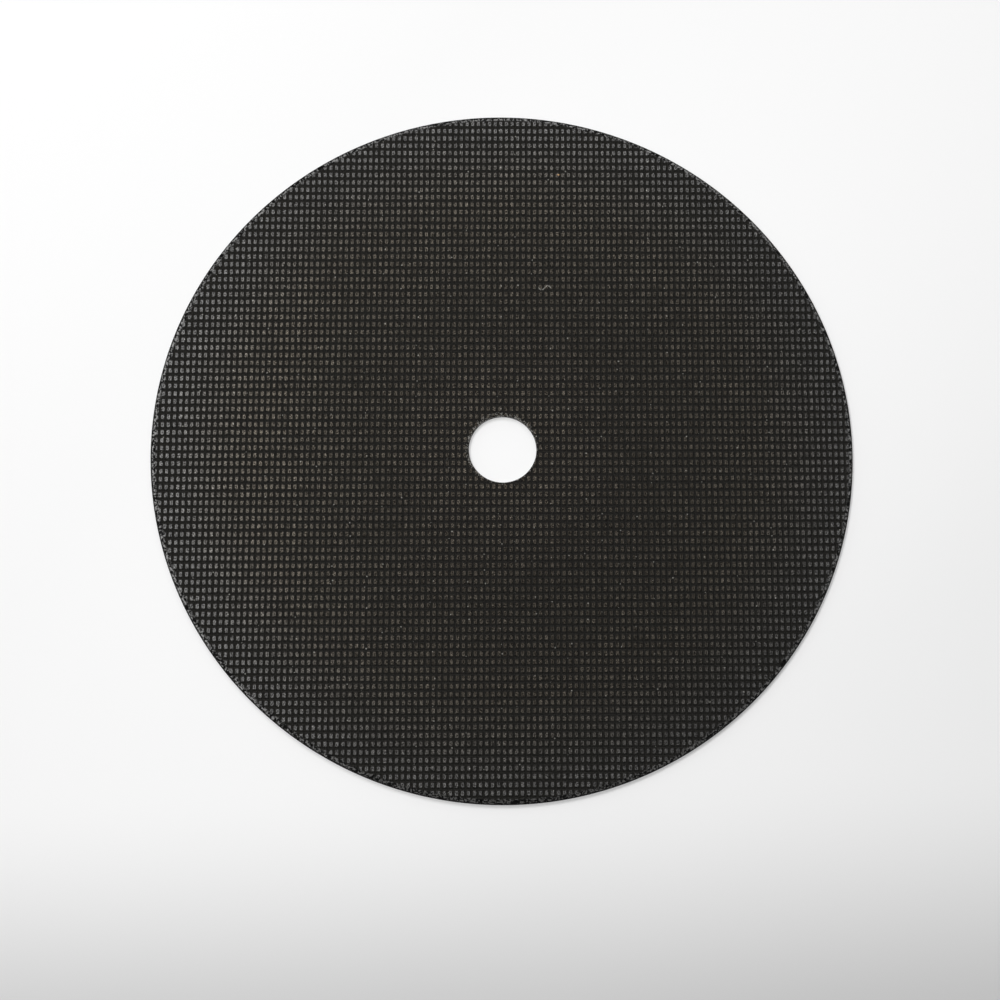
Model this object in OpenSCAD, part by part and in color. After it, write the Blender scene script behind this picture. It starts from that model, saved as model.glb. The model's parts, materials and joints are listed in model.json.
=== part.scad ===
// Cut-off wheel: a thin, flat disc of resin-bonded abrasive with a plain bore.
// Both faces carry the imprint of the cloth that they were pressed against.
// A bare band with a bevelled edge runs round the rim, a little below the imprint.
// The edges of the bore are bevelled too.
// The wheel lies flat: Z is its axis, and Z = 0 is its underside.

/* [Wheel] */
// Outside diameter of the wheel
wheel_d = 230; // [100:1:400]
// Thickness over the lands of both faces
thickness = 2; // [1.6:0.1:4]
// Diameter of the bore
bore_d = 22.23; // [10:0.01:60]

/* [Rim and bore edges] */
// Width of the bare band at the rim, with its bevel
rim_band_w = 1.1; // [0.6:0.1:4]
// Depth of the rim band below the groove floors
band_step = 0.05; // [0.02:0.01:0.1]
// Width of the bevel at the outer edge of the rim band
rim_bevel_w = 0.4; // [0.1:0.05:0.5]
// Fall of that bevel to the outside diameter
rim_bevel_fall = 0.2; // [0.05:0.01:0.3]
// Width of the bevel at the edges of the bore
bore_bevel_w = 0.3; // [0.1:0.05:2]
// Depth of that bevel below the groove floors
bore_bevel_step = 0.05; // [0.02:0.01:0.1]

/* [Cloth imprint] */
// Distance from one groove to the next
groove_pitch = 2.601; // [1.8:0.001:5]
// Width of a groove where it opens on the face
groove_w = 1.12; // [0.5:0.01:1.4]
// Width of a groove at its floor
groove_floor_w = 0.3; // [0.1:0.01:0.4]
// Depth of a groove below the lands
groove_depth = 0.25; // [0.1:0.01:0.35]
// Distance from the wheel's axis to the centre line of the land beside it
land_offset = 0.62; // [-2.5:0.01:2.5]

/* [Hidden] */
$fn = 180;
wheel_r = wheel_d / 2;
bore_r = bore_d / 2;
// Heights above the middle of the wheel's thickness
land_z = thickness / 2;
floor_z = land_z - groove_depth;
band_z = floor_z - band_step;
rim_z = band_z - rim_bevel_fall;
bore_z = floor_z - bore_bevel_step;
// The imprinted face ends at the bore's bevel and at the rim band
face_inner_r = bore_r + bore_bevel_w;
face_outer_r = wheel_r - rim_band_w;
bevel_r = wheel_r - rim_bevel_w;
// How far the imprinted slab and the turned outline stand clear of the finished wheel
clear = 2;
// How much wider the bore's bevel has grown where it stands clear above the lands
bevel_clear_w = clear * bore_bevel_w / (land_z - bore_z);
// Grooves on each side of the axis, enough to pass the rim
grooves = ceil((wheel_r + abs(land_offset) + clear) / groove_pitch);

// Centre line of groove number i, midway between two lands
function groove_y(i) = land_offset + (i + 0.5) * groove_pitch;

// Section of one groove, from one land down to its floor and up to the next land
function groove_section(y) = [
    [y - groove_w / 2, land_z],
    [y - groove_floor_w / 2, floor_z],
    [y + groove_floor_w / 2, floor_z],
    [y + groove_w / 2, land_z]
];

// Section of a whole face: lands and grooves from one side of the wheel to the other
function face_section() = concat(
    [[land_offset - (grooves + 1) * groove_pitch, land_z]],
    [for (i = [-grooves : grooves - 1]) each groove_section(groove_y(i))],
    [[land_offset + (grooves + 1) * groove_pitch, land_z]]
);

// The same section turned over, in reverse order, for the underside
function under_section(upper) = [for (i = [len(upper) - 1 : -1 : 0]) [upper[i].x, -upper[i].y]];

// Slab of abrasive with the cloth's rows pressed into both faces, along X
module imprinted_slab() {
    upper = face_section();
    rotate([90, 0, 90])
        linear_extrude(2 * (wheel_r + clear), center = true)
            polygon(concat(upper, under_section(upper)));
}

// Outline of revolution that gives the bore, the rim and their bevels
module turned_outline() {
    half = [
        [bore_r, bore_z],
        [face_inner_r + bevel_clear_w, land_z + clear],
        [face_outer_r, land_z + clear],
        [face_outer_r, band_z],
        [bevel_r, band_z],
        [wheel_r, rim_z]
    ];
    rotate_extrude()
        polygon(concat(half, under_section(half)));
}

module cut_off_wheel() {
    color([0.17, 0.165, 0.16])
        translate([0, 0, land_z])
            intersection() {
                imprinted_slab();
                turned_outline();
            }
}

cut_off_wheel();
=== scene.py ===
import json
import math

import bpy
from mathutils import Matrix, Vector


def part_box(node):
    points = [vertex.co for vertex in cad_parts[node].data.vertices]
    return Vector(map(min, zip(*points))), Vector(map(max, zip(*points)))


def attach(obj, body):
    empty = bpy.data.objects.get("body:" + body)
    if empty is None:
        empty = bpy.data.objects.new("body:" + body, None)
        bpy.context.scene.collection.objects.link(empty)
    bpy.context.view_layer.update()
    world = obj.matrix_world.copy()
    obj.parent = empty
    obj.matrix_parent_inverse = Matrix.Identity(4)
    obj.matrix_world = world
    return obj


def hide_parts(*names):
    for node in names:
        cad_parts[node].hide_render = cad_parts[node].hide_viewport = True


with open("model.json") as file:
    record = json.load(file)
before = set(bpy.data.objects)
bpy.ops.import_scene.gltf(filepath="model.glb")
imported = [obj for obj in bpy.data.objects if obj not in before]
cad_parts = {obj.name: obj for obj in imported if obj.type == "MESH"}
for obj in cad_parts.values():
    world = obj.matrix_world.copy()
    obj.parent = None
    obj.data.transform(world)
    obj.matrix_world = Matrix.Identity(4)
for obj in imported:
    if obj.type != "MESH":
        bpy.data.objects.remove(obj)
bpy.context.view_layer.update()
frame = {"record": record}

# The visual model of the cut-off wheel: one body with single pads, a gritty rim and its finishes

MM = 0.001
WHEEL = "cut_off_wheel"

# The wheel, from the frame
lowest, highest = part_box(WHEEL)
WHEEL_R = highest.x
BOX_R = min(-lowest.x, -lowest.y, highest.x, highest.y)  # a little less, because the CAD's rim is many-sided
HALF_T = (highest.z - lowest.z) / 2
BORE_R = next(m for m in frame["record"]["mounts"] if m["name"] == "bore")["dims"]["r_mm"] * MM

# The cloth imprint: flat pads in rows and columns, with grooves between them
COLUMN_PITCH = 1.903 * MM
ROW_PITCH = 2.601 * MM
PAD_W = 0.98 * MM
PAD_L = 1.45 * MM
PAD_CORNERS = 4.5  # power of the pads' rounded outline: 2 is an ellipse, and more is squarer
RELIEF = 0.25 * MM
COLUMN_OFFSET = 0.94 * MM  # centre of the pad right of the axis
ROW_OFFSET = 0.62 * MM  # centre of the pad above the axis
COLUMN_LEAN = 0.00887  # how far the columns lean to the right for each unit along Y
PAD_UNEVENNESS = 0.05 * MM  # how far a pad's corners stray sideways
PAD_TILT = 0.15  # how much of that they stray up and down

# The bare band at the rim, and the bevels there and at the bore
RIM_BAND = 1.1 * MM
RIM_EDGE = 0.4 * MM  # the bevelled outer part of the rim band
RIM_FALL = 0.2 * MM
BAND_STEP = 0.05 * MM
BORE_BEVEL = 0.3 * MM
RIM_SEGMENTS = 480
RIM_ROUGHNESS = 0.005 * MM  # how far the grains at the rim stray
WORN_EDGE_AT = (0.17 * MM, 0.17 * MM)  # centre of the circle outside which the imprint is worn off
WORN_EDGE_R = WHEEL_R - RIM_BAND - 0.4 * MM

# Marks on both faces
DUST_SPACING = 5.5 * MM
DUST_SIZE = 0.25 * MM
SCUFF_AT = (14.3 * MM, 54.9 * MM)
SCUFF_REACH = 2.1 * MM
SCUFF_WAVE = 0.7 * MM  # how far the scuff's line swings to each side
SCUFF_W = 0.2 * MM  # half of the line's width
BROWN_SPECK_AT = (19.3 * MM, 94.4 * MM)
BROWN_SPECK_REACH = (0.4 * MM, 0.28 * MM)
CHIPS_AT = (-0.4 * MM, 0.4 * MM)
CHIPS_REACH = 1.2 * MM

# Colours of the finishes
WARM_PAD = (0.0225, 0.0196, 0.0160, 1)
NEUTRAL_PAD = (0.0190, 0.0183, 0.0174, 1)
GROOVE = (0.0105, 0.0098, 0.0084)
BARE_BINDER = (0.003, 0.0029, 0.0028, 1)
BARE_GRAIN = (0.055, 0.0535, 0.051, 1)
CHIP = (0.15, 0.145, 0.134, 1)
DUST = (0.2, 0.195, 0.18, 1)
BROWN_SPECK = (0.34, 0.19, 0.08, 1)

# Grain and gloss of the finishes
PAD_GRAIN = 0.28 * MM
GROOVE_GRAIN = 0.3 * MM
GRIT_AND_GLINT_SIZE = 0.3 * MM
CHIP_SIZE = 0.36 * MM
BARE_GRAIN_SIZE = 0.42 * MM
TONE_RADII = (78 * MM, 116 * MM)  # the pads go from warm to neutral between these
PALE_RADII = (14 * MM, 50 * MM)  # the pads go from pale to their own shade between these
GLOSS = {"Coat_Roughness": 0.27, "Coat_IOR": 1.57}

# Heights above the middle of the wheel's thickness
LAND_Z = HALF_T - PAD_TILT * PAD_UNEVENNESS
FLOOR_Z = HALF_T - RELIEF
BAND_Z = FLOOR_Z - BAND_STEP
RIM_Z = BAND_Z - RIM_FALL
CLEAR = 2 * MM  # how far the tools that shape the wheel stand clear of it


def object_mode():
    if bpy.context.mode != "OBJECT":
        bpy.ops.object.mode_set(mode="OBJECT")


def start_fresh():
    """Leaves edit mode and deselects everything, so that the next operator acts on its own piece alone."""
    object_mode()
    bpy.ops.object.select_all(action="DESELECT")


def make_active(piece):
    start_fresh()
    piece.select_set(True)
    bpy.context.view_layer.objects.active = piece


def edit(piece, element):
    """Opens a piece in edit mode with nothing selected."""
    make_active(piece)
    bpy.ops.object.mode_set(mode="EDIT")
    bpy.ops.mesh.select_mode(type=element)
    bpy.ops.mesh.select_all(action="DESELECT")


def select_vertices(piece, wanted):
    """Selects the vertices whose place passes the test, and opens the piece in edit mode."""
    edit(piece, "VERT")
    object_mode()
    for vertex in piece.data.vertices:
        vertex.select = wanted(vertex.co)
    bpy.ops.object.mode_set(mode="EDIT")


def select_faces(piece, wanted):
    """Selects the faces that pass the test, and opens the piece in edit mode."""
    edit(piece, "FACE")
    object_mode()
    for face in piece.data.polygons:
        face.select = wanted(face)
    bpy.ops.object.mode_set(mode="EDIT")


def apply_modifier(piece, modifier):
    make_active(piece)
    bpy.ops.object.modifier_apply(modifier=modifier.name)


# Materials


class Nodes:
    """A node tree, with short calls for the nodes that the finishes and the walls use."""

    def __init__(self, tree, coordinates):
        self.nodes = tree.nodes
        self.links = tree.links
        self.place = self.nodes.new("ShaderNodeTexCoord").outputs[coordinates]

    def feed(self, socket, value):
        if isinstance(value, bpy.types.NodeSocket):
            self.links.new(value, socket)
        else:
            socket.default_value = value

    def node(self, kind, settings=None, **inputs):
        made = self.nodes.new(kind)
        for name, value in (settings or {}).items():
            setattr(made, name, value)
        for name, value in inputs.items():
            self.feed(made.inputs[name.replace("_", " ")], value)
        return made

    def maths(self, operation, first, second=0.0):
        made = self.nodes.new("ShaderNodeMath")
        made.operation = operation
        self.feed(made.inputs[0], first)
        self.feed(made.inputs[1], second)
        return made.outputs[0]

    def along(self, direction):
        """The place measured along a direction, as a number."""
        made = self.nodes.new("ShaderNodeVectorMath")
        made.operation = "DOT_PRODUCT"
        self.feed(made.inputs[0], self.place)
        made.inputs[1].default_value = direction
        return made.outputs["Value"]

    def noise(self, grain, detail=2.0, seed=0.0, stretch=1.0):
        """Soft noise whose grains are about that wide, and drawn out along Y."""
        drawn = self.node("ShaderNodeVectorMath", {"operation": "MULTIPLY"})
        self.links.new(self.place, drawn.inputs[0])
        drawn.inputs[1].default_value = (1, 1 / stretch, 1)
        made = self.node("ShaderNodeTexNoise", {"noise_dimensions": "4D"}, Vector=drawn.outputs[0], W=seed)
        made.inputs["Scale"].default_value = 1 / grain
        made.inputs["Detail"].default_value = detail
        return made.outputs["Fac"]

    def cells(self, size, dimensions="3D"):
        """Irregular cells of about that size, each with a random colour."""
        made = self.node("ShaderNodeTexVoronoi", {"voronoi_dimensions": dimensions}, Vector=self.place)
        made.inputs["Scale"].default_value = 1 / size
        return made

    def draw(self, cells, channel):
        """A random number for each cell, from one channel of its colour."""
        return self.node("ShaderNodeSeparateColor", Color=cells.outputs["Color"]).outputs[channel]

    def spread(self, value, low, high, to_low=0.0, to_high=1.0, smooth=False):
        """Maps low..high to another range, held at both ends."""
        made = self.node("ShaderNodeMapRange", {"interpolation_type": "SMOOTHSTEP" if smooth else "LINEAR"})
        self.feed(made.inputs["Value"], value)
        made.inputs["From Min"].default_value = low
        made.inputs["From Max"].default_value = high
        made.inputs["To Min"].default_value = to_low
        made.inputs["To Max"].default_value = to_high
        return made.outputs["Result"]

    def mix(self, amount, first, second):
        """A colour between two colours."""
        made = self.node("ShaderNodeMix", {"data_type": "RGBA"})
        self.feed(made.inputs["Factor"], amount)
        self.feed(made.inputs[6], first)
        self.feed(made.inputs[7], second)
        return made.outputs[2]

    def scaled(self, colour, amount):
        """A colour made lighter or darker by a number."""
        made = self.nodes.new("ShaderNodeVectorMath")
        made.operation = "SCALE"
        self.feed(made.inputs[0], colour)
        self.feed(made.inputs["Scale"], amount)
        return made.outputs[0]


class Finish(Nodes):
    """A procedural material on Object coordinates."""

    def __init__(self, name):
        self.material = bpy.data.materials.new(name)
        self.material.use_nodes = True
        super().__init__(self.material.node_tree, "Object")
        self.shader = self.nodes["Principled BSDF"]

    def radius(self, centre=(0, 0), reach=(1, 1)):
        """Distance from an upright line, by default the wheel's axis, in parts of the reach given."""
        moved = self.node("ShaderNodeMapping", {"vector_type": "TEXTURE"}, Vector=self.place)
        moved.inputs["Location"].default_value = (*centre, 0)
        moved.inputs["Scale"].default_value = (*reach, 1)
        flat = self.node("ShaderNodeVectorMath", {"operation": "MULTIPLY"})
        self.links.new(moved.outputs[0], flat.inputs[0])
        flat.inputs[1].default_value = (1, 1, 0)
        length = self.node("ShaderNodeVectorMath", {"operation": "LENGTH"})
        self.links.new(flat.outputs[0], length.inputs[0])
        return length.outputs["Value"]

    def bump(self, height, depth, strength=1.0):
        made = self.node("ShaderNodeBump", Height=height)
        made.inputs["Strength"].default_value = strength
        made.inputs["Distance"].default_value = depth
        return made.outputs["Normal"]

    def finish(self, colour, **sockets):
        """Sets the colour and the named sockets on the material's own shader, and gives the material."""
        self.feed(self.shader.inputs["Base Color"], colour)
        for name, value in sockets.items():
            self.feed(self.shader.inputs[name.replace("_", " ")], value)
        return self.material


def pad_place(f):
    """Where a point lies in the cloth imprint: its pad's own random number, and how far out it is.

    The second is 0 at the middle of the pad and 1 on its outline.
    """
    across = f.along((1 / COLUMN_PITCH, -COLUMN_LEAN / COLUMN_PITCH, 0))
    across = f.maths("ADD", across, 0.5 - COLUMN_OFFSET / COLUMN_PITCH)
    along = f.maths("ADD", f.along((0, 1 / ROW_PITCH, 0)), 0.5 - ROW_OFFSET / ROW_PITCH)
    cell = f.node("ShaderNodeCombineXYZ", X=f.maths("FLOOR", across), Y=f.maths("FLOOR", along))
    draw = f.node("ShaderNodeTexWhiteNoise", {"noise_dimensions": "2D"}, Vector=cell.outputs[0])

    def share(position, pitch, length):
        offset = f.maths("ABSOLUTE", f.maths("SUBTRACT", f.maths("FRACT", position), 0.5))
        return f.maths("POWER", f.maths("MULTIPLY", offset, 2 * pitch / length), PAD_CORNERS)

    out = f.maths("ADD", share(across, COLUMN_PITCH, PAD_W), share(along, ROW_PITCH, PAD_L))
    return draw.outputs["Value"], out


def marked(f, colour):
    """A colour with pale specks of dust, one brown speck, and a pale scuff in a thin curved line."""
    spots = f.cells(DUST_SPACING, "2D")
    size = f.spread(f.draw(spots, "Red"), 0.5, 1.0, 0, DUST_SIZE / DUST_SPACING)
    speck = f.maths("LESS_THAN", spots.outputs["Distance"], size)
    across = f.maths("SUBTRACT", f.along((1, 0, 0)), SCUFF_AT[0])
    along = f.maths("SUBTRACT", f.along((0, 1, 0)), SCUFF_AT[1])
    wave = f.maths("SINE", f.maths("MULTIPLY", across, math.pi / SCUFF_REACH))
    apart = f.maths("ABSOLUTE", f.maths("SUBTRACT", along, f.maths("MULTIPLY", wave, SCUFF_WAVE)))
    line = f.spread(apart, SCUFF_W, 1.6 * SCUFF_W, 1, 0)
    ends = f.maths("LESS_THAN", f.maths("ABSOLUTE", across), SCUFF_REACH)
    broken = f.spread(f.noise(0.4 * MM, seed=8), 0.4, 0.5)
    scuff = f.maths("MULTIPLY", f.maths("MULTIPLY", line, ends), broken)
    dusty = f.mix(f.maths("MAXIMUM", speck, scuff), colour, DUST)
    brown = f.maths("LESS_THAN", f.radius(BROWN_SPECK_AT, BROWN_SPECK_REACH), 1)
    return f.mix(brown, dusty, BROWN_SPECK)


def rubbed_strips(f):
    """1 in the ragged strips along the bore and the rim where the imprint is rubbed, 0 between them."""
    stray = f.spread(f.noise(0.9 * MM, seed=5), 0.25, 0.75, -0.7 * MM, 0.7 * MM)
    r = f.maths("ADD", f.radius(), stray)
    at_bore = f.spread(r, BORE_R + 0.3 * MM, BORE_R + 1.5 * MM, 1, 0)
    at_rim = f.spread(r, WHEEL_R - RIM_BAND - 0.9 * MM, WHEEL_R - RIM_BAND, 0, 1)
    return f.maths("MAXIMUM", at_bore, at_rim)


def chipped_at_bore(f, colour):
    """A colour with pale chips of grit near the bore, most of them at its back left."""
    chance = f.draw(f.cells(CHIP_SIZE), "Green")
    near = f.spread(f.radius(CHIPS_AT), BORE_R, BORE_R + CHIPS_REACH, 0.32, 0)
    bare = f.maths("GREATER_THAN", f.maths("ADD", chance, near), 1)
    return f.mix(bare, colour, CHIP)


def bare_grains(f):
    """The bare abrasive's own pattern: 1 on its pale grains, which are fewer at the outer edge."""
    chance = f.draw(f.cells(BARE_GRAIN_SIZE), "Red")
    stray = f.spread(f.noise(0.7 * MM, seed=5), 0.25, 0.75, -0.25 * MM, 0.25 * MM)
    r = f.maths("ADD", f.radius(), stray)
    sparser = f.spread(r, WHEEL_R - RIM_EDGE, WHEEL_R - 0.5 * RIM_EDGE, 0, 0.7)
    return f.spread(f.maths("SUBTRACT", chance, sparser), 0.57, 0.62, smooth=True)


def worn_edge(f):
    """1 in the ragged outermost strip of the imprint, which is worn to bare abrasive, 0 inside it."""
    stray = f.spread(f.noise(0.8 * MM, seed=6), 0.25, 0.75, -0.3 * MM, 0.3 * MM)
    r = f.maths("ADD", f.radius(WORN_EDGE_AT), stray)
    return f.spread(r, WORN_EDGE_R - 0.12 * MM, WORN_EDGE_R + 0.12 * MM)


def bare_colour(f, grains):
    """The bare abrasive's colour: dark binder with pale grains."""
    return f.mix(grains, BARE_BINDER, BARE_GRAIN)


def glint(f, grains):
    """The gloss of bare grains, which is dull straight in front."""
    return f.maths("MULTIPLY", grains, f.spread(f.along((0, 1, 0)), -WHEEL_R, -0.75 * WHEEL_R, 0.25, 1))


def satin_pad_finish():
    """Pressed resin on the pads: a glossy skin broken by pits, warm in the middle, neutral at the rim."""
    f = Finish("satin_pads")
    chance, out = pad_place(f)
    to_rim = f.spread(f.radius(), *TONE_RADII, smooth=True)
    body = f.mix(to_rim, WARM_PAD, NEUTRAL_PAD)
    near_bore = f.spread(f.radius(), *PALE_RADII, 1.75, 1, smooth=True)
    fray = f.spread(f.noise(0.55 * MM, seed=3), 0.3, 0.7, -0.3, 0.3)
    pressed = f.spread(f.maths("ADD", out, fray), 0.9, 1.2, 1, 0, smooth=True)
    streaks = f.noise(PAD_GRAIN, detail=0.0, stretch=1.3)
    grain = f.maths("ADD", streaks, f.spread(out, 0, 0.08, -0.03, 0.05))
    grain = f.maths("ADD", grain, f.spread(to_rim, 0, 1, 0, 0.03))
    skin = f.maths("MULTIPLY", f.spread(grain, 0.45, 0.55, 0.06, 1, smooth=True), pressed)
    worn = worn_edge(f)
    kept = f.maths("MULTIPLY", f.spread(rubbed_strips(f), 0, 1, 1, 0.7), f.spread(worn, 0, 1, 1, 0))
    skin = f.maths("MULTIPLY", skin, kept)
    # The pits are far darker in colour: partly their own darker binder, partly painted shade in them
    shade = f.maths("MULTIPLY", f.spread(chance, 0, 1, 0.75, 1.25), f.spread(skin, 0, 1, 0.1, 1.85))
    # Painted glints: a quarter of the grains get up to 2.4 times brighter in the pads' colour and the rest a
    # little darker, standing in for facets that catch the lamps
    grit_and_glints = f.draw(f.cells(GRIT_AND_GLINT_SIZE), "Blue")
    shade = f.maths("MULTIPLY", shade, f.spread(grit_and_glints, 0.75, 1, 0.8, 2.4))
    shade = f.maths("MULTIPLY", shade, near_bore)
    gloss = f.maths("MULTIPLY", skin, f.spread(chance, 0, 1, 0.75, 1))
    grains = f.maths("MULTIPLY", bare_grains(f), worn)
    colour = f.mix(worn, f.scaled(body, shade), bare_colour(f, grains))
    return f.finish(
        marked(f, chipped_at_bore(f, colour)),
        Normal=f.bump(skin, 0.01 * MM, 0.5),
        Roughness=0.27,
        Specular_IOR_Level=f.maths("MULTIPLY", gloss, f.spread(to_rim, 0, 1, 0.68, 0)),
        Specular_Tint=(1, 0.9, 0.75, 1),
        Coat_Weight=f.maths("MAXIMUM", f.maths("MULTIPLY", gloss, to_rim), glint(f, grains)),
        **GLOSS,
    )


def groove_finish():
    """Matte black binder in the grooves, with bare grains at their ends by the rim."""
    f = Finish("matte_grooves")
    shade = f.spread(f.noise(GROOVE_GRAIN, detail=0.0), 0.25, 0.75, 0.1, 1.8)
    worn = worn_edge(f)
    grains = f.maths("MULTIPLY", bare_grains(f), worn)
    colour = f.mix(worn, f.scaled(GROOVE, shade), bare_colour(f, grains))
    return f.finish(
        marked(f, chipped_at_bore(f, colour)),
        Roughness=0.7,
        Specular_IOR_Level=0.12,
        Coat_Weight=glint(f, grains),
        **GLOSS,
    )


def bare_grit_finish():
    """Bare abrasive at the rim and the bore: dark binder with paler grains that glint."""
    f = Finish("bare_grit")
    grains = bare_grains(f)
    rugged = f.bump(f.noise(GRIT_AND_GLINT_SIZE, seed=7), 0.12 * MM, 0.05)
    return f.finish(
        chipped_at_bore(f, bare_colour(f, grains)),
        Normal=rugged,
        Roughness=0.9,
        Specular_IOR_Level=0.1,
        Coat_Weight=glint(f, grains),
        Coat_Normal=rugged,
        **GLOSS,
    )


# The wheel's shape


def repeat(piece, count, step):
    """Sets copies of a piece in a line and joins them where they meet."""
    copies = piece.modifiers.new("copies", "ARRAY")
    copies.count = count
    copies.use_relative_offset = False
    copies.use_constant_offset = True
    copies.constant_offset_displace = step
    copies.use_merge_vertices = True
    copies.merge_threshold = 0.04 * MM
    apply_modifier(piece, copies)


def imprinted_slab(pads, grooves):
    """A slab larger than the wheel, with the cloth's imprint on both faces."""
    columns = math.ceil((WHEEL_R + CLEAR) / COLUMN_PITCH)
    rows = math.ceil((WHEEL_R + CLEAR) / ROW_PITCH)
    first_y = ROW_OFFSET - rows * ROW_PITCH
    first_x = COLUMN_OFFSET - columns * COLUMN_PITCH - rows * ROW_PITCH * COLUMN_LEAN
    middle = (first_x, first_y, FLOOR_Z)
    start_fresh()
    bpy.ops.mesh.primitive_plane_add(size=1, location=middle)
    slab = bpy.context.object
    slab.name = "imprinted_slab"
    slab.data.materials.append(pads)
    slab.data.materials.append(grooves)
    bpy.ops.object.transform_apply(location=True)
    bpy.ops.object.mode_set(mode="EDIT")
    bpy.ops.mesh.select_all(action="SELECT")
    bpy.ops.transform.resize(value=(COLUMN_PITCH, ROW_PITCH, 1), center_override=middle)
    slab.active_material_index = 1
    bpy.ops.object.material_slot_assign()
    side_gap = (COLUMN_PITCH - PAD_W) / 2
    bpy.ops.mesh.inset(thickness=side_gap)
    bpy.ops.transform.resize(value=(1, PAD_L / (ROW_PITCH - 2 * side_gap), 1), center_override=middle)
    bpy.ops.transform.translate(value=(0, 0, LAND_Z - FLOOR_Z))
    slab.active_material_index = 0
    bpy.ops.object.material_slot_assign()
    object_mode()
    repeat(slab, 2 * columns + 1, (COLUMN_PITCH, 0, 0))
    repeat(slab, 2 * rows + 1, (ROW_PITCH * COLUMN_LEAN, ROW_PITCH, 0))
    select_vertices(slab, lambda place: place.z > (LAND_Z + FLOOR_Z) / 2)
    bpy.ops.transform.vertex_random(offset=PAD_UNEVENNESS, uniform=1, normal=0, seed=5)
    bpy.ops.transform.resize(value=(1, 1, PAD_TILT), center_override=(0, 0, LAND_Z))
    edit(slab, "EDGE")
    bpy.ops.mesh.select_non_manifold()
    bpy.ops.mesh.extrude_region_move(TRANSFORM_OT_translate={"value": (0, 0, -FLOOR_Z)})
    underside = slab.modifiers.new("underside", "MIRROR")
    underside.use_axis = (False, False, True)
    apply_modifier(slab, underside)
    return slab


def turned_outline(grit_and_glints):
    """The wheel's outline of revolution: bore, rim and their bevels, clear above the imprinted faces."""
    start_fresh()
    bpy.ops.mesh.primitive_cylinder_add(
        vertices=RIM_SEGMENTS, radius=BOX_R - 1.3 * RIM_ROUGHNESS, depth=2 * RIM_Z, end_fill_type="NGON"
    )
    outline = bpy.context.object
    outline.name = "turned_outline"
    outline.data.materials.append(grit_and_glints)
    select_faces(outline, lambda face: abs(face.normal.z) > 0.5)

    def step_in(width, rise=0.0):
        bpy.ops.mesh.inset(thickness=width, depth=rise, use_individual=True)

    step_in(RIM_EDGE, RIM_FALL)
    step_in((RIM_BAND - RIM_EDGE) / 2)
    step_in((RIM_BAND - RIM_EDGE) / 2)
    step_in(0, HALF_T + CLEAR - BAND_Z)
    bevel_width = BORE_BEVEL * (HALF_T + CLEAR - BAND_Z) / (HALF_T - BAND_Z)
    step_in(WHEEL_R - RIM_BAND - BORE_R - bevel_width)
    step_in(bevel_width, BAND_Z - HALF_T - CLEAR)
    bpy.ops.mesh.bridge_edge_loops()
    object_mode()
    return outline


def wheel_body():
    """The wheel: the imprinted slab cut to the turned outline, with its rim left rough."""
    wheel = imprinted_slab(satin_pad_finish(), groove_finish())
    outline = turned_outline(bare_grit_finish())
    cut = wheel.modifiers.new("cut_to_outline", "BOOLEAN")
    cut.operation = "INTERSECT"
    cut.solver = "MANIFOLD"
    cut.material_mode = "TRANSFER"
    cut.object = outline
    apply_modifier(wheel, cut)
    bpy.data.objects.remove(outline)
    wheel.name = "abrasive_body"
    band_edge = WHEEL_R - RIM_BAND + 2 * RIM_ROUGHNESS
    select_vertices(wheel, lambda place: math.hypot(place.x, place.y) > band_edge)
    bpy.ops.transform.vertex_random(offset=RIM_ROUGHNESS, uniform=1, normal=0, seed=9)
    bpy.ops.mesh.select_all(action="SELECT")
    bpy.ops.transform.translate(value=(0, 0, HALF_T))
    bpy.ops.mesh.normals_make_consistent(inside=False)
    object_mode()
    bpy.ops.object.shade_smooth_by_angle(angle=math.radians(20))
    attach(wheel, "root")
    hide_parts(WHEEL)
    return wheel


# The stage

# The floor's soft shade in front of the wheel is painted shade, in its colour and in its glow
FLOOR_NEAR = (0.23, 0.36)  # between these radii the floor goes from its tone round the wheel to an even one
SHADE_BEGINS = (0.105, 0.21)  # how far in front of the axis the floor's soft shade begins, and is full
SHADE_ENDS = (0.175, 0.3)  # how far in front it begins to fade again, and is gone


def camera():
    """Looks down on the wheel from just in front of it."""
    lens = bpy.data.cameras.new("camera")
    lens.sensor_width = 36
    lens.lens = 66.2
    view = bpy.data.objects.new("camera", lens)
    view.location = (-11.36 * MM, -125.11 * MM, 590.9 * MM)
    view.rotation_euler = [math.radians(a) for a in (10.414, -0.952, -0.314)]
    bpy.context.collection.objects.link(view)
    bpy.context.scene.camera = view


def softbox(name, left, right, front, back, height, radiance):
    """A flat rectangular lamp that faces straight down."""
    lamp = bpy.data.lights.new(name, "AREA")
    lamp.shape = "RECTANGLE"
    lamp.size = right - left
    lamp.size_y = back - front
    lamp.energy = math.pi * lamp.size * lamp.size_y * radiance
    box = bpy.data.objects.new(name, lamp)
    box.location = ((left + right) / 2, (front + back) / 2, height)
    bpy.context.collection.objects.link(box)
    return box


def softboxes():
    """Four softboxes round an opening over the wheel, and a key light at the back left.

    The two in front and on the right are only there to be mirrored, and the key light only to shade.
    """
    left, right, front, back = -0.150, 0.274, -0.115, 0.354
    height = 0.66
    softbox("left_softbox", left - 0.205, left, front - 0.15, back + 0.15, height, 6.25)
    softbox("back_softbox", left - 0.1, right + 0.1, back, back + 0.102, height, 8.5)
    right_box = softbox("right_softbox", right, right + 0.043, front - 0.15, back + 0.15, height, 11.75)
    front_box = softbox("front_softbox", left - 0.1, right - 0.1, front - 0.05, front, height, 8.5)
    right_box.visible_diffuse = False
    front_box.visible_diffuse = False
    key = softbox("key_softbox", -0.21, -0.09, 0.09, 0.21, 0.5, 13.6)
    key.visible_glossy = False


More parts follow.
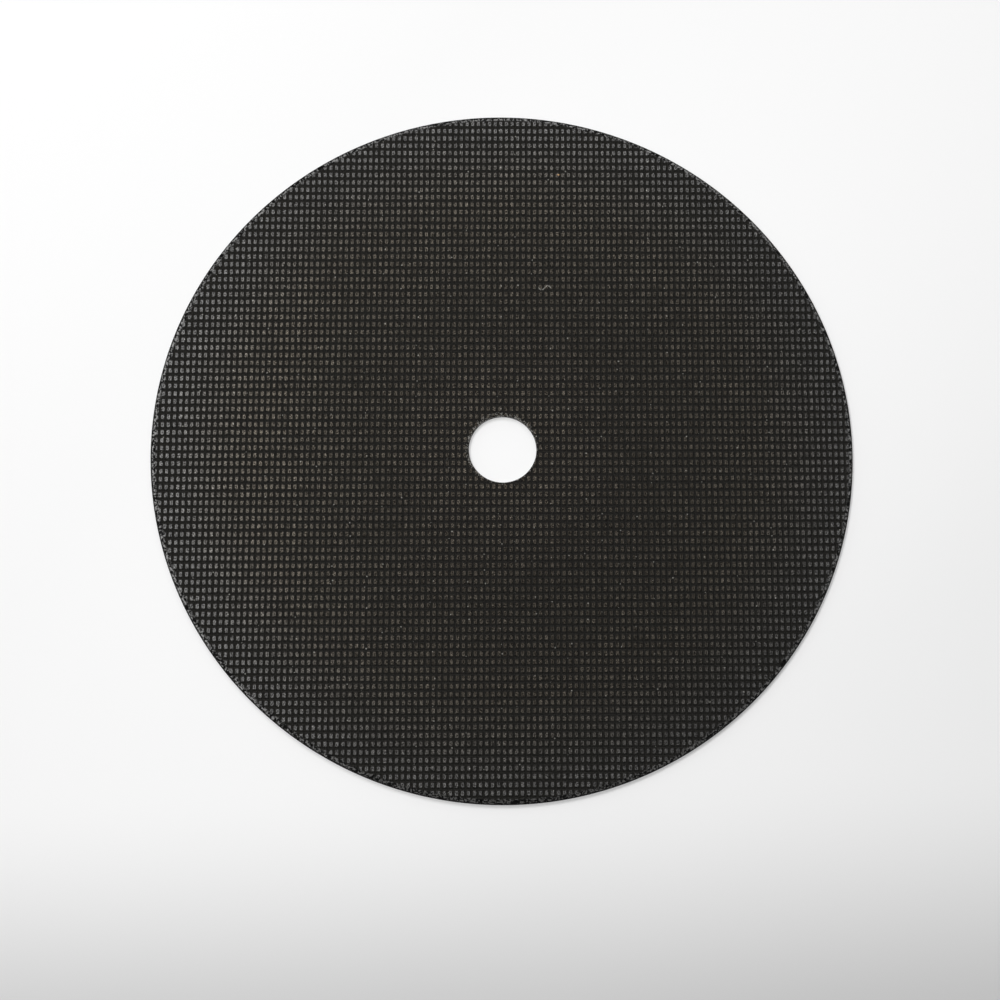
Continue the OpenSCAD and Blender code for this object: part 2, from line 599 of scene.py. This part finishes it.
def seen(n):
    """1 for what the camera, a reflection or a glass shows, and 0 for plain light."""
    looks = n.node("ShaderNodeLightPath").outputs
    mirrored = n.maths("MAXIMUM", looks["Is Glossy Ray"], looks["Is Transmission Ray"])
    return n.maths("MAXIMUM", looks["Is Camera Ray"], mirrored)


def studio_walls():
    """Dim walls under a dark ceiling, brighter at the back left, and pale low down where looked at."""
    world = bpy.data.worlds.new("studio_walls")
    world.use_nodes = True
    bpy.context.scene.world = world
    n = Nodes(world.node_tree, "Generated")
    up = n.along((0, 0, 1))
    to_back_left = n.along((-0.5, 0.866, 0))
    light = n.maths("MULTIPLY", n.spread(to_back_left, 0, 1, 0.08, 1), n.spread(up, 0.55, 0.88, 1, 0))
    pale = n.maths("MULTIPLY", n.spread(up, 0.25, 0.5, 0.9, 0), seen(n))
    level = n.maths("ADD", n.maths("MAXIMUM", light, pale), 0.04)
    shell = n.nodes["Background"]
    shell.inputs["Color"].default_value = (1, 1, 1, 1)
    n.links.new(level, shell.inputs["Strength"])


def floor():
    """A plain pale floor with a painted soft shade just in front of the wheel, and even further out.

    It also glows where it is looked at, a painted light that no lamp gives, which softens the shadow.
    """
    start_fresh()
    bpy.ops.mesh.primitive_plane_add(size=6)
    ground = bpy.context.object
    ground.name = "floor"
    f = Finish("pale_floor")
    near = f.spread(f.radius(), *FLOOR_NEAR, 1, 0, smooth=True)

    def near_or_far(level, far_level):
        """The first level round the wheel, and the second far from it."""
        return f.maths("ADD", f.maths("MULTIPLY", level, near), f.spread(near, 0, 1, far_level, 0))

    # Painted shade: just in front of the wheel the floor's colour and glow are darkened, standing in for the
    # lamps' light falling off there
    ahead = f.along((0.03, -1, 0))
    ends = f.spread(ahead, *SHADE_ENDS, 1, 0, smooth=True)
    shade = f.maths("MULTIPLY", f.spread(ahead, *SHADE_BEGINS, 0, 0.4, smooth=True), ends)
    dimmed = near_or_far(f.maths("SUBTRACT", 1, shade), 1)
    f.finish(f.scaled((0.9, 0.9, 0.9), dimmed), Roughness=0.8, Specular_IOR_Level=0.1)
    # Painted light: the glow is stronger towards the front right, where the lamps light the floor less
    lift = near_or_far(f.spread(f.along((0.8, -0.6, 0)), -0.1, 0.12, 0.91, 1.13), 0.97)
    glow = f.node("ShaderNodeEmission", Color=(1, 1, 1, 1), Strength=f.maths("MULTIPLY", lift, dimmed))
    # and it makes up less of the floor towards the front, so the shadows there stay deeper
    share = near_or_far(f.spread(f.along((0.6, -0.8, 0)), -0.1, 0.12, 0.55, 0.3), 0.92)
    blend = f.node("ShaderNodeMixShader", Fac=f.maths("MULTIPLY", seen(f), share))
    f.links.new(f.shader.outputs[0], blend.inputs[1])
    f.links.new(glow.outputs[0], blend.inputs[2])
    f.links.new(blend.outputs[0], f.nodes["Material Output"].inputs["Surface"])
    ground.data.materials.append(f.material)


camera()
softboxes()
studio_walls()
floor()
wheel_body()
bpy.context.scene.view_settings.view_transform = "Standard"
